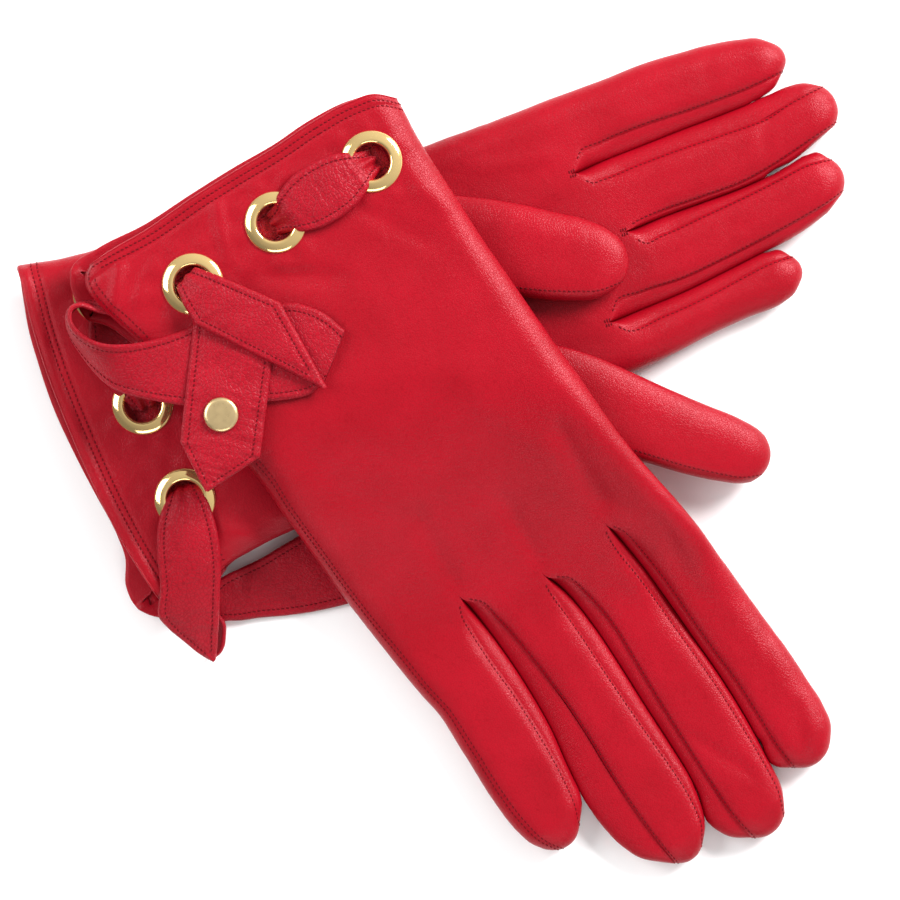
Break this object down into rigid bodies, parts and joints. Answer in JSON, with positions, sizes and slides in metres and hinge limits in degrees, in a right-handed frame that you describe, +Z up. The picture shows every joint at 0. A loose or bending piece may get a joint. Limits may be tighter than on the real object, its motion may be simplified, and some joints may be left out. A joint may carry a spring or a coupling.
{
  "type": "pair of leather driving gloves",
  "caption": "Pair of wrist-length leather gloves laid crosswise, with cuffs laced by a flat strap through metal grommets.",
  "frame": {"origin": "bottom centre of the laid-out pair, on the table", "axes": "+X from the left glove's cuff to its fingertips, +Y towards its index finger, +Z up from the table"},
  "size_m": [0.233, 0.2398, 0.0352],
  "materials": {
    "leather": "semi-gloss nappa",
    "fourchette": "semi-gloss nappa",
    "hem": "semi-gloss nappa",
    "lace": "semi-gloss, fine grain",
    "thread": "twisted thread",
    "eyelet": "polished gold plate",
    "washer": "satin",
    "stud": "brushed antique gold"
  },
  "bodies": {
    "left_hand": {"left_hand_shell": "leather", "left_thumb_base": "leather", "left_cuff_hem": "hem", "left_back_eyelet_1": "eyelet", "left_back_eyelet_2": "eyelet", "left_back_eyelet_3": "eyelet", "left_palm_eyelet_1": "eyelet", "left_palm_eyelet_2": "eyelet", "left_palm_eyelet_3": "eyelet", "left_back_washer_1": "washer", "left_back_washer_2": "washer", "left_back_washer_3": "washer", "left_palm_washer_1": "washer", "left_palm_washer_2": "washer", "left_palm_washer_3": "washer", "left_lace": "lace"},
    "left_little": {"left_little_finger": "leather", "left_little_inner_fourchette": "fourchette"},
    "left_ring": {"left_ring_finger": "leather", "left_ring_outer_fourchette": "fourchette", "left_ring_inner_fourchette": "fourchette"},
    "left_middle": {"left_middle_finger": "leather", "left_middle_outer_fourchette": "fourchette", "left_middle_inner_fourchette": "fourchette"},
    "left_index": {"left_index_finger": "leather", "left_index_outer_fourchette": "fourchette"},
    "left_thumb": {"left_thumb_tip": "leather"},
    "right_hand": {"right_hand_shell": "leather", "right_thumb_base": "leather", "right_cuff_hem": "hem", "right_back_eyelet_1": "eyelet", "right_back_eyelet_2": "eyelet", "right_back_eyelet_3": "eyelet", "right_palm_eyelet_1": "eyelet", "right_palm_eyelet_2": "eyelet", "right_palm_eyelet_3": "eyelet", "right_back_washer_1": "washer", "right_back_washer_2": "washer", "right_back_washer_3": "washer", "right_palm_washer_1": "washer", "right_palm_washer_2": "washer", "right_palm_washer_3": "washer", "right_lace": "lace"},
    "right_little": {"right_little_finger": "leather", "right_little_inner_fourchette": "fourchette"},
    "right_ring": {"right_ring_finger": "leather", "right_ring_outer_fourchette": "fourchette", "right_ring_inner_fourchette": "fourchette"},
    "right_middle": {"right_middle_finger": "leather", "right_middle_outer_fourchette": "fourchette", "right_middle_inner_fourchette": "fourchette"},
    "right_index": {"right_index_finger": "leather", "right_index_outer_fourchette": "fourchette"},
    "right_thumb": {"right_thumb_tip": "leather"},
    "lace_tail": {"right_lace_tail": "lace", "stud_cap": "stud", "stud_post": "stud"}
  },
  "joints": [
    {"name": "glove_lift", "type": "slide", "parent": "left_hand", "child": "right_hand", "axis": [0, 0, 1], "range_m": [0, 0.12]},
    {"name": "left_little_flex", "type": "hinge", "parent": "left_hand", "child": "left_little", "pos_m": [0.047, 0.02402, 0.0098], "axis": [0, -1, 0], "range_deg": [0, 70]},
    {"name": "left_ring_flex", "type": "hinge", "parent": "left_hand", "child": "left_ring", "pos_m": [0.047, 0.04267, 0.0098], "axis": [0, -1, 0], "range_deg": [0, 70]},
    {"name": "left_middle_flex", "type": "hinge", "parent": "left_hand", "child": "left_middle", "pos_m": [0.047, 0.06417, 0.0098], "axis": [0, -1, 0], "range_deg": [0, 70]},
    {"name": "left_index_flex", "type": "hinge", "parent": "left_hand", "child": "left_index", "pos_m": [0.047, 0.08567, 0.0098], "axis": [0, -1, 0], "range_deg": [0, 70]},
    {"name": "left_thumb_flex", "type": "hinge", "parent": "left_hand", "child": "left_thumb", "pos_m": [0.0229, 0.05832, 0.01845], "axis": [-0.4928, -0.8701, 0], "range_deg": [0, 50]},
    {"name": "right_little_flex", "type": "hinge", "parent": "right_hand", "child": "right_little", "pos_m": [-0.03885, -0.05416, 0.0098], "axis": [-0.9652, -0.2613, 0], "range_deg": [0, 60]},
    {"name": "right_ring_flex", "type": "hinge", "parent": "right_hand", "child": "right_ring", "pos_m": [-0.01409, -0.04746, 0.0098], "axis": [-0.9652, -0.2613, 0], "range_deg": [0, 60]},
    {"name": "right_middle_flex", "type": "hinge", "parent": "right_hand", "child": "right_middle", "pos_m": [0.0086, -0.04131, 0.01055], "axis": [-0.9652, -0.2613, 0], "range_deg": [0, 60]},
    {"name": "right_index_flex", "type": "hinge", "parent": "right_hand", "child": "right_index", "pos_m": [0.02829, -0.03598, 0.01545], "axis": [-0.9652, -0.2613, 0], "range_deg": [0, 60]},
    {"name": "right_thumb_flex", "type": "hinge", "parent": "right_hand", "child": "right_thumb", "pos_m": [0.03651, 0.00043, 0.0174], "axis": [-0.606, -0.7955, 0], "range_deg": [0, 50]},
    {"name": "lace_tail_lift", "type": "hinge", "parent": "right_hand", "child": "lace_tail", "pos_m": [-0.06779, 0.06346, 0.0335], "axis": [-0.6895, 0.7243, 0], "range_deg": [0, 95]}
  ]
}
